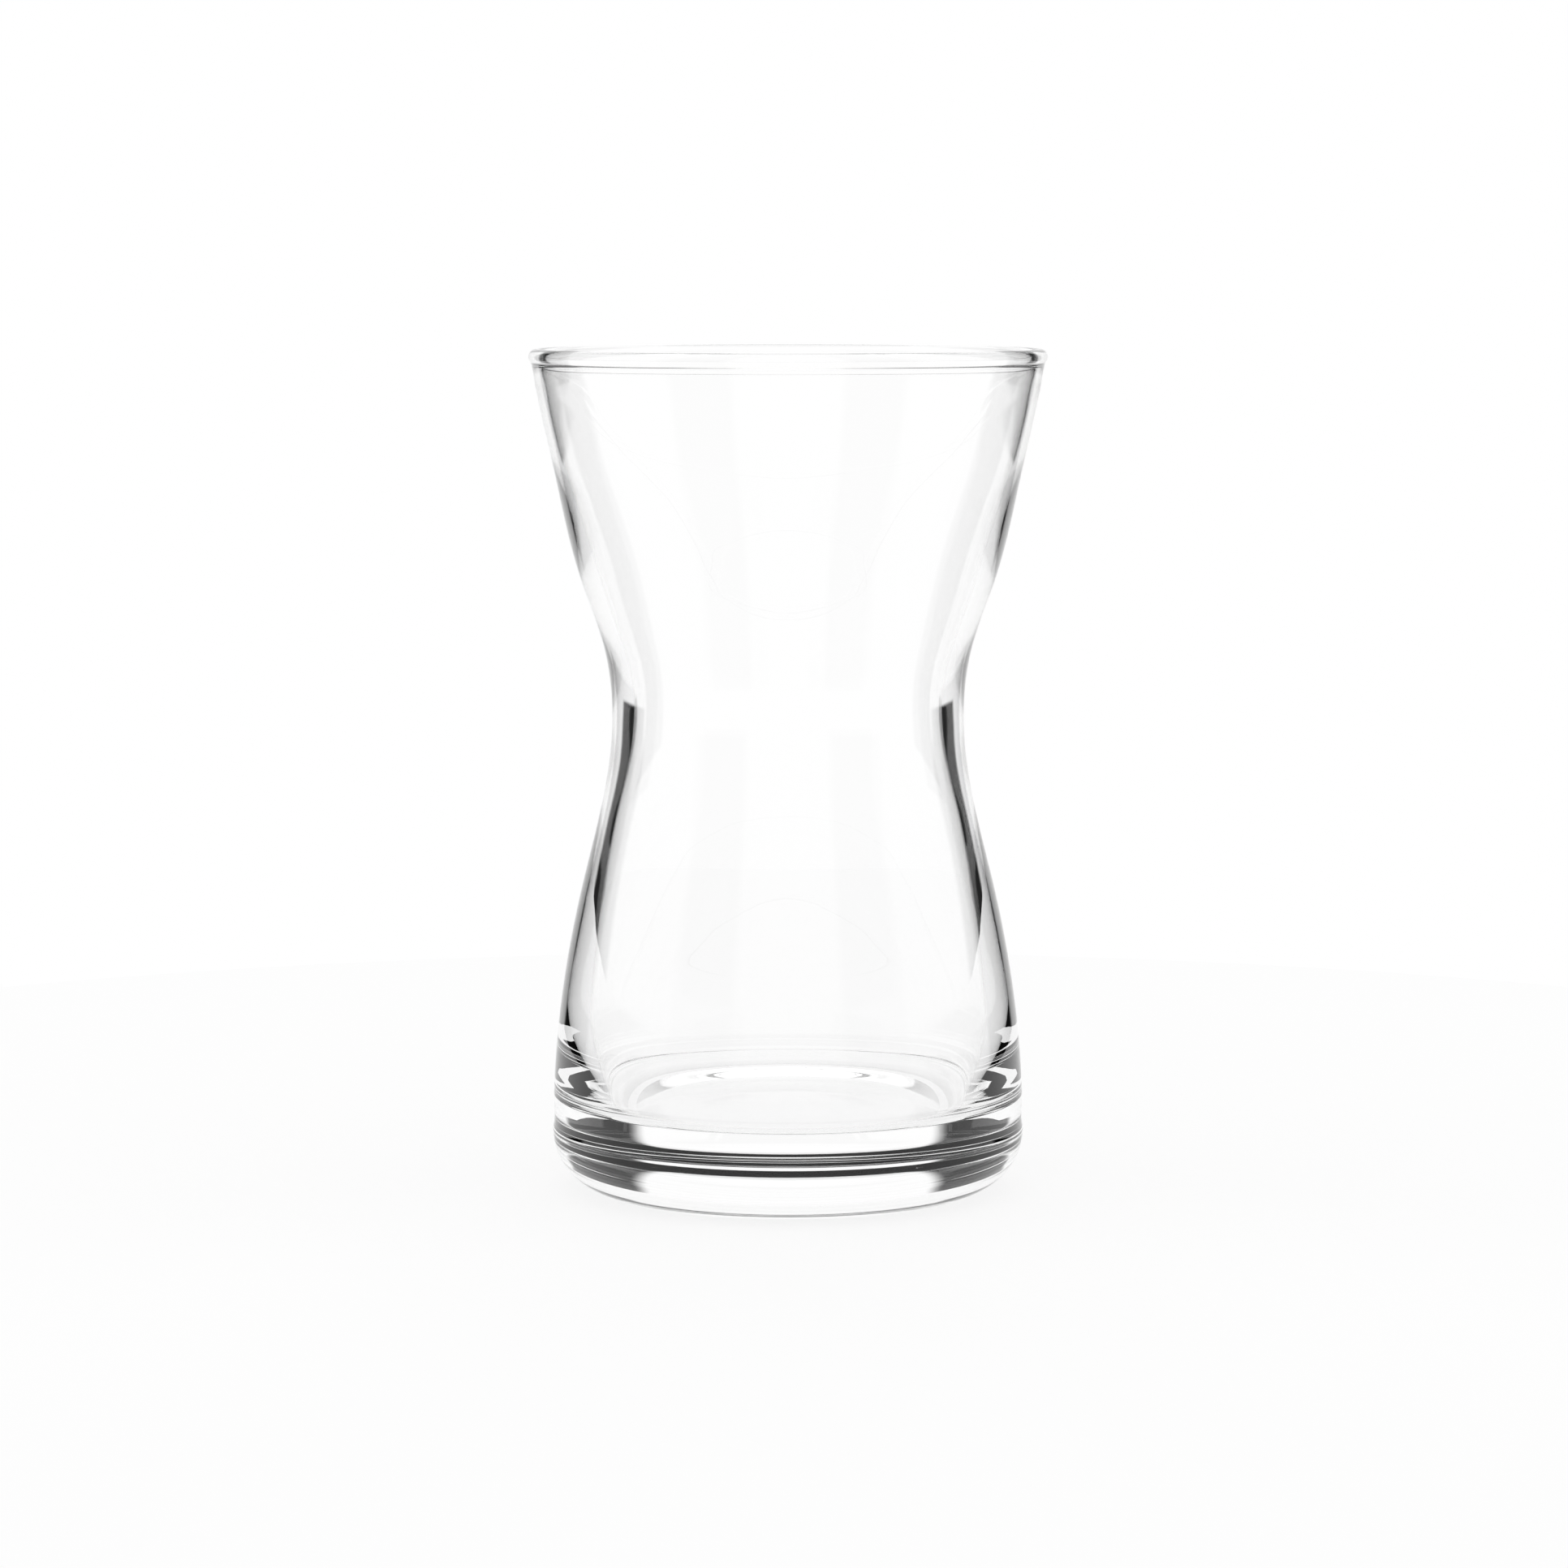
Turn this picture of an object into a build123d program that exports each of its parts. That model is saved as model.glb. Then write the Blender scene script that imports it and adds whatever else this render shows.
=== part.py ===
from build123d import *
import os
from math import sqrt

# Turkish tea glass, empty: one piece of clear soda-lime glass, in millimetres.
# A solid of revolution about Z, standing on a flat ring at Z = 0, whose centre is the origin.
# The outside and the inside are separate curves: the wall is thin at the mouth, thicker
# at the waist and thickest where it runs down into the heavy base.

# Overall sizes.
height = 98.0  # from the table to the top of the mouth bead
mouth_diameter = 60.0  # over the bead
waist_diameter = 40.9
base_diameter = 55.0  # the widest part of the lower body
waist_height = 55.6  # where the body is narrowest

# Outside: how far each step has gone from the waist towards the base or the mouth.
flank_drop = 0.20  # share of the way down to the heel
flank_out = 0.155  # share of the way out to the base
thigh_drop = 0.41
thigh_out = 0.50
hip_drop = 0.66
hip_out = 0.83
neck_rise = 0.206  # share of the way up to the bead
neck_out = 0.115  # share of the way out to the mouth
chest_rise = 0.402
chest_out = 0.41
flare_rise = 0.697
flare_out = 0.72
mouth_slope = 0.17  # run out for each unit of rise, just under the bead
well_slope = 0.25  # the same for the inside wall, just above the inside floor

# Glass thickness, measured across.
mouth_wall = 1.2
flare_wall = 1.2
chest_wall = 2.1
neck_wall = 2.2
waist_wall = 2.5
flank_wall = 2.0
thigh_wall = 2.35
hip_wall = 3.2
well_wall = 5.4  # where the inside wall meets the inside floor
floor_thickness = 10.0
corner_radius = 1.8  # between the inside wall and the inside floor

# Mouth bead, heel and underside.
bead_radius = 0.93
bead_blend = 0.5  # softens the crease on each side of the bead
heel_width = 7.1  # quarter ellipse from the widest part in to the foot
heel_height = 6.8
foot_width = 1.3  # the flat ring that rests on the table
hollow_depth = 0.6  # of the underside, at its centre
seam_width = 0.6  # ring left by the mould's joint, at the top of the heel
seam_depth = 0.05

waist_radius = waist_diameter / 2
base_radius = base_diameter / 2
foot_outer = base_radius - heel_width
foot_inner = foot_outer - foot_width
body_start = heel_height + seam_width

bead_middle = mouth_diameter / 2 - bead_radius
bead_height = height - bead_radius
lip_outer = bead_middle + mouth_wall / 2
lip_inner = bead_middle - mouth_wall / 2
lip_height = bead_height - sqrt(bead_radius**2 - (mouth_wall / 2) ** 2)

below = waist_height - body_start
above = lip_height - waist_height
base_step = base_radius - waist_radius
mouth_step = lip_outer - waist_radius

hip_height = waist_height - below * hip_drop
thigh_height = waist_height - below * thigh_drop
flank_height = waist_height - below * flank_drop
neck_height = waist_height + above * neck_rise
chest_height = waist_height + above * chest_rise
flare_height = waist_height + above * flare_rise

hip_radius = waist_radius + base_step * hip_out
thigh_radius = waist_radius + base_step * thigh_out
flank_radius = waist_radius + base_step * flank_out
neck_radius = waist_radius + mouth_step * neck_out
chest_radius = waist_radius + mouth_step * chest_out
flare_radius = waist_radius + mouth_step * flare_out
well_radius = base_radius - well_wall

with BuildPart() as tea_glass:
    with BuildSketch(Plane.XZ) as section:
        with BuildLine() as outline:
            Line((foot_inner, 0), (foot_outer, 0))
            EllipticalCenterArc(
                (foot_outer, heel_height),
                heel_width,
                heel_height,
                start_angle=270,
                arc_size=90,
            )
            ThreePointArc(
                (base_radius, heel_height),
                (base_radius + seam_depth, heel_height + seam_width / 2),
                (base_radius, body_start),
            )
            Spline(
                (base_radius, body_start),
                (hip_radius, hip_height),
                (thigh_radius, thigh_height),
                (flank_radius, flank_height),
                (waist_radius, waist_height),
                (neck_radius, neck_height),
                (chest_radius, chest_height),
                (flare_radius, flare_height),
                (lip_outer, lip_height),
                tangents=[(0, 1), (mouth_slope, 1)],
            )
            ThreePointArc(
                (lip_outer, lip_height),
                (bead_middle, height),
                (lip_inner, lip_height),
            )
            Spline(
                (lip_inner, lip_height),
                (flare_radius - flare_wall, flare_height),
                (chest_radius - chest_wall, chest_height),
                (neck_radius - neck_wall, neck_height),
                (waist_radius - waist_wall, waist_height),
                (flank_radius - flank_wall, flank_height),
                (thigh_radius - thigh_wall, thigh_height),
                (hip_radius - hip_wall, hip_height),
                (well_radius, floor_thickness),
                tangents=[(-mouth_slope, -1), (-well_slope, -1)],
            )
            Line((well_radius, floor_thickness), (0, floor_thickness))
            Line((0, floor_thickness), (0, hollow_depth))
            TangentArc((0, hollow_depth), (foot_inner, 0), tangent=(1, 0))
        make_face()
        corner = section.vertices().sort_by_distance((well_radius, floor_thickness))[0]
        fillet(corner, radius=corner_radius)
        lip_edges = section.vertices().sort_by_distance((bead_middle, lip_height))[0:2]
        fillet(lip_edges, radius=bead_blend)
    revolve(axis=Axis.Z)

tea_glass.part.label = "tea_glass"
os.makedirs("parts", exist_ok=True)
export_step(tea_glass.part, "parts/tea_glass.step")
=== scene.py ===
import math

import bpy
import numpy as np
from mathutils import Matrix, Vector


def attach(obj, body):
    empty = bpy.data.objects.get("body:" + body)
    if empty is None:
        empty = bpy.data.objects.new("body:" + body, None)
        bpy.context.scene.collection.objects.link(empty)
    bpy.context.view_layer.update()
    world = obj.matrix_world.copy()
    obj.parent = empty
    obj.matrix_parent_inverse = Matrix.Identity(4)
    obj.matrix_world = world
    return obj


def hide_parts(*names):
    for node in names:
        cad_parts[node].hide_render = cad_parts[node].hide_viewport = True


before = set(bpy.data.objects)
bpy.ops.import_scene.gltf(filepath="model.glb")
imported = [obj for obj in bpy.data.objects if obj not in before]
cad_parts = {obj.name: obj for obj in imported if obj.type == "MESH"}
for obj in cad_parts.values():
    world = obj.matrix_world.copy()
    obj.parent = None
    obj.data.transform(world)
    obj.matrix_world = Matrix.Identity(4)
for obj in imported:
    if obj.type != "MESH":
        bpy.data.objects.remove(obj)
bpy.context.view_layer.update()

GLASS_NODE = "tea_glass"
TURNS = 264  # facets round the glass
CREASE = math.radians(20)  # a sharper turn than this in the outline is a crease
STEP_MAX = 0.0011  # longest facet along the outline, in metres
STEP_TURN = math.radians(5)  # largest turn between two facets of the outline
SEAM_TOLERANCE = 2e-7  # how near Y = 0 a vertex of the CAD solid's seam lies, in metres
IOR_GLASS = 1.52
WAVE_SCALE = 55.0  # slow waviness of the wall
WAVE_STRETCH = 0.45  # drawn out along the height
FINE_SCALE = 420.0
FINE_SHARE = 0.02
WAVE_HEIGHT = 0.00004  # in metres

# The camera, fitted to the ellipses of the mouth, foot and inside floor.
CAMERA_PLACE = (-0.00047, -0.58545, 0.10845)
CAMERA_PITCH = math.radians(5.951)
CAMERA_LENS = 115.9

DARK_FROM = 0.79  # the strips start where |sin 2 azimuth| passes this, and are full at DARK_FULL
DARK_FULL = 0.89
DARK_DEPTH = 0.98
DARK_TOP = math.radians(50)
TOP_BLEND = 0.1  # half width of the change from strips to roof, in sine of elevation
BOTTOM_BLEND = 0.03
DARK_FAR_BOTTOM = math.radians(-12)  # lowest edge of the strips behind the glass
DARK_NEAR_BOTTOM = math.radians(-4)  # and of those on the camera's side
NEAR_SIDE = 0.3  # how strong the strips on the camera's side are
SIDE_BLEND = 0.3
ROOF_LIGHT = 1.3  # makes up for the strips, so that a level surface gets about 1 in all
WHITE = (1.0, 1.0, 1.0, 1.0)
TABLE_RADIUS = 0.2
TABLE_SIDES = 192
TABLE_COLOUR = 0.92
TABLE_PLAIN = 0.85  # plain white share of the table, for camera, glossy and transmission rays


# ---------------------------------------------------------------- node helpers
def new_tree(mat):
    mat.use_nodes = True
    mat.node_tree.nodes.clear()
    return mat.node_tree


def node(tree, kind, **inputs):
    made = tree.nodes.new(kind)
    for key, value in inputs.items():
        name = key.replace("_", " ")
        if isinstance(value, bpy.types.NodeSocket):
            tree.links.new(value, made.inputs[name])
        else:
            made.inputs[name].default_value = value
    return made


def maths(tree, operation, a, b=0.0):
    made = tree.nodes.new("ShaderNodeMath")
    made.operation = operation
    for socket, value in zip(made.inputs, (a, b)):
        if isinstance(value, bpy.types.NodeSocket):
            tree.links.new(value, socket)
        else:
            socket.default_value = value
    return made.outputs[0]


def ramp(tree, value, low, high):
    """0 at low, 1 at high, smooth between."""
    made = tree.nodes.new("ShaderNodeMapRange")
    made.interpolation_type = "SMOOTHSTEP"
    tree.links.new(value, made.inputs["Value"])
    made.inputs["From Min"].default_value = low
    made.inputs["From Max"].default_value = high
    return made.outputs["Result"]


# ---------------------------------------------------------------- the glass
def seam_outline(obj):
    """The CAD solid's half section, as (radius, height) from the hollow up to the inside floor."""
    verts = np.array([v.co[:] for v in obj.data.vertices])
    on_seam = (np.abs(verts[:, 1]) < SEAM_TOLERANCE) & (verts[:, 0] > -SEAM_TOLERANCE / 2)
    key = {
        i: (round(float(verts[i, 0]), 7), round(float(verts[i, 2]), 7))
        for i in np.nonzero(on_seam)[0]
    }
    near = {}
    for edge in obj.data.edges:
        a, b = edge.vertices
        if a in key and b in key and key[a] != key[b]:
            near.setdefault(key[a], set()).add(key[b])
            near.setdefault(key[b], set()).add(key[a])
    start = min((p for p in near if p[0] < 1e-5), key=lambda p: p[1])
    chain = [start]
    seen = {start}
    while True:
        ahead = [p for p in near[chain[-1]] if p not in seen]
        if not ahead:
            break
        step = min(ahead, key=lambda p: math.dist(p, chain[-1]))
        chain.append(step)
        seen.add(step)
    return np.array(chain)


def smooth_run(points):
    """A cubic through the points of one run, with facets fine enough for its curvature."""
    if len(points) < 3:
        length = math.dist(points[0], points[1])
        count = max(2, int(length / (2 * STEP_MAX)) + 1)
        share = np.linspace(0, 1, count)[:, None]
        return points[0] * (1 - share) + points[-1] * share
    span = np.hypot(*np.diff(points, axis=0).T)
    at = np.r_[0, np.cumsum(span)]
    slope = np.diff(points, axis=0) / span[:, None]
    tangent = np.empty_like(points)
    weight = (span[:-1] / (span[:-1] + span[1:]))[:, None]
    tangent[1:-1] = slope[:-1] * (1 - weight) + slope[1:] * weight
    tangent[0] = 2 * slope[0] - tangent[1]
    tangent[-1] = 2 * slope[-1] - tangent[-2]
    out = [points[0]]
    for k in range(len(span)):
        sizes = np.linalg.norm(tangent[k]) * np.linalg.norm(tangent[k + 1])
        cosine = np.dot(tangent[k], tangent[k + 1]) / sizes
        turn = math.acos(min(1.0, cosine))
        count = max(1, math.ceil(span[k] / STEP_MAX), math.ceil(turn / STEP_TURN))
        for t in np.arange(1, count + 1) / count:
            h = span[k]
            out.append(
                (2 * t**3 - 3 * t**2 + 1) * points[k]
                + (t**3 - 2 * t**2 + t) * h * tangent[k]
                + (3 * t**2 - 2 * t**3) * points[k + 1]
                + (t**3 - t**2) * h * tangent[k + 1]
            )
    return np.array(out)


def smooth_outline(points):
    """Splits the outline at its creases and smooths each run between them."""
    way = np.diff(points, axis=0)
    angle = np.arctan2(way[:, 1], way[:, 0])
    turn = np.abs((np.diff(angle) + math.pi) % (2 * math.pi) - math.pi)
    cuts = [0] + [k + 1 for k, t in enumerate(turn) if t > CREASE] + [len(points) - 1]
    runs = [smooth_run(points[a : b + 1]) for a, b in zip(cuts, cuts[1:])]
    return np.vstack([runs[0]] + [run[1:] for run in runs[1:]])


def lathe(name, outline):
    """Turns the half section about Z into one closed smooth mesh."""
    ring = np.linspace(0, 2 * math.pi, TURNS, endpoint=False)
    body = outline[1:-1]
    grid = np.stack(
        [
            body[:, 0, None] * np.cos(ring),
            body[:, 0, None] * np.sin(ring),
            np.repeat(body[:, 1, None], TURNS, axis=1),
        ],
        axis=2,
    ).reshape(-1, 3)
    verts = np.vstack([grid, [(0, 0, outline[0, 1])], [(0, 0, outline[-1, 1])]])
    low, high = len(grid), len(grid) + 1
    faces = []
    for k in range(len(body) - 1):
        for j in range(TURNS):
            n = (j + 1) % TURNS
            a, b = k * TURNS, (k + 1) * TURNS
            faces.append((a + j, a + n, b + n, b + j))
    last = (len(body) - 1) * TURNS
    for j in range(TURNS):
        n = (j + 1) % TURNS
        faces.append((low, n, j))
        faces.append((high, last + j, last + n))
    mesh = bpy.data.meshes.new(name)
    mesh.from_pydata(verts.tolist(), [], faces)
    mesh.validate()
    mesh.polygons.foreach_set("use_smooth", [True] * len(mesh.polygons))
    made = bpy.data.objects.new(name, mesh)
    bpy.context.scene.collection.objects.link(made)
    return made


def glass_material():
    """Clear soda-lime glass with the slight waviness of a pressed and blown wall."""
    mat = bpy.data.materials.new("clear_glass")
    tree = new_tree(mat)
    place = node(tree, "ShaderNodeTexCoord").outputs["Object"]
    drawn = node(tree, "ShaderNodeMapping", Vector=place, Scale=(1.0, 1.0, WAVE_STRETCH))
    waves = node(
        tree,
        "ShaderNodeTexNoise",
        Vector=drawn.outputs["Vector"],
        Scale=WAVE_SCALE,
        Detail=1.5,
        Roughness=0.4,
    )
    fine = node(
        tree, "ShaderNodeTexNoise", Vector=place, Scale=FINE_SCALE, Detail=2.0, Roughness=0.5
    )
    grain = maths(tree, "MULTIPLY", fine.outputs["Fac"], FINE_SHARE)
    height = maths(tree, "ADD", waves.outputs["Fac"], grain)
    bump = node(tree, "ShaderNodeBump", Height=height, Strength=1.0, Distance=WAVE_HEIGHT)
    shader = node(tree, "ShaderNodeBsdfPrincipled", Normal=bump.outputs["Normal"])
    shader.inputs["Base Color"].default_value = WHITE
    shader.inputs["Roughness"].default_value = 0.0
    shader.inputs["IOR"].default_value = IOR_GLASS
    shader.inputs["Transmission Weight"].default_value = 1.0
    node(tree, "ShaderNodeOutputMaterial", Surface=shader.outputs["BSDF"])
    return mat


glass = lathe("glass_body", smooth_outline(seam_outline(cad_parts[GLASS_NODE])))
glass.data.materials.append(glass_material())
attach(glass, "root")
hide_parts(GLASS_NODE)


# ---------------------------------------------------------------- table, backdrop and light
def table_material():
    """White table. Seen rays meet mostly plain white, and the rest of it keeps the soft shadow."""
    mat = bpy.data.materials.new("white_table")
    tree = new_tree(mat)
    colour = (TABLE_COLOUR, TABLE_COLOUR, TABLE_COLOUR, 1.0)
    matt = node(tree, "ShaderNodeBsdfDiffuse", Color=colour)
    plain = node(tree, "ShaderNodeEmission", Color=WHITE, Strength=1.0)
    path = node(tree, "ShaderNodeLightPath").outputs
    seen = maths(tree, "MAXIMUM", path["Is Camera Ray"], path["Is Glossy Ray"])
    seen = maths(tree, "MAXIMUM", seen, path["Is Transmission Ray"])
    mix = node(tree, "ShaderNodeMixShader", Fac=maths(tree, "MULTIPLY", seen, TABLE_PLAIN))
    tree.links.new(matt.outputs[0], mix.inputs[1])
    tree.links.new(plain.outputs[0], mix.inputs[2])
    node(tree, "ShaderNodeOutputMaterial", Surface=mix.outputs[0])
    return mat


def table():
    bpy.ops.mesh.primitive_circle_add(
        vertices=TABLE_SIDES, radius=TABLE_RADIUS, fill_type="NGON", location=(0, 0, 0)
    )
    made = bpy.context.object
    made.name = "table"
    made.data.materials.append(table_material())


def studio_light():
    """White all round, with dark strips on the diagonals and a soft roof, the same for every ray."""
    world = bpy.data.worlds.new("studio")
    bpy.context.scene.world = world
    tree = new_tree(world)
    way = node(tree, "ShaderNodeTexCoord").outputs["Generated"]
    split = node(tree, "ShaderNodeSeparateXYZ", Vector=way).outputs
    x, y, z = split["X"], split["Y"], split["Z"]
    flat = maths(tree, "ADD", maths(tree, "MULTIPLY", x, x), maths(tree, "MULTIPLY", y, y))
    twist = maths(tree, "ABSOLUTE", maths(tree, "DIVIDE", maths(tree, "MULTIPLY", x, y), flat))
    strip = ramp(tree, maths(tree, "MULTIPLY", twist, 2.0), DARK_FROM, DARK_FULL)
    far = ramp(tree, maths(tree, "DIVIDE", y, maths(tree, "SQRT", flat)), -SIDE_BLEND, SIDE_BLEND)
    side = maths(tree, "ADD", maths(tree, "MULTIPLY", far, 1.0 - NEAR_SIDE), NEAR_SIDE)
    near_low, far_low = math.sin(DARK_NEAR_BOTTOM), math.sin(DARK_FAR_BOTTOM)
    bottom = maths(tree, "ADD", maths(tree, "MULTIPLY", far, far_low - near_low), near_low)
    low = ramp(tree, maths(tree, "SUBTRACT", z, bottom), 0.0, BOTTOM_BLEND)
    high = ramp(tree, z, math.sin(DARK_TOP) - TOP_BLEND, math.sin(DARK_TOP) + TOP_BLEND)
    dark = maths(tree, "MULTIPLY", maths(tree, "MULTIPLY", strip, side), low)
    dark = maths(tree, "MULTIPLY", dark, maths(tree, "SUBTRACT", 1.0, high))
    white = maths(tree, "SUBTRACT", 1.0, maths(tree, "MULTIPLY", dark, DARK_DEPTH))
    light = maths(tree, "ADD", white, maths(tree, "MULTIPLY", high, ROOF_LIGHT - 1.0))
    shade = node(tree, "ShaderNodeBackground", Color=WHITE, Strength=light)
    node(tree, "ShaderNodeOutputWorld", Surface=shade.outputs[0])


table()
studio_light()


# ---------------------------------------------------------------- camera
view = bpy.data.cameras.new("camera")
view.lens = CAMERA_LENS
view.sensor_width = 36.0
view.sensor_fit = "HORIZONTAL"
view.clip_start = 0.01
view.clip_end = 200.0
camera = bpy.data.objects.new("camera", view)
camera.location = Vector(CAMERA_PLACE)
camera.rotation_euler = (math.pi / 2 - CAMERA_PITCH, 0.0, 0.0)
bpy.context.scene.collection.objects.link(camera)
bpy.context.scene.camera = camera
bpy.context.scene.view_settings.view_transform = "Standard"
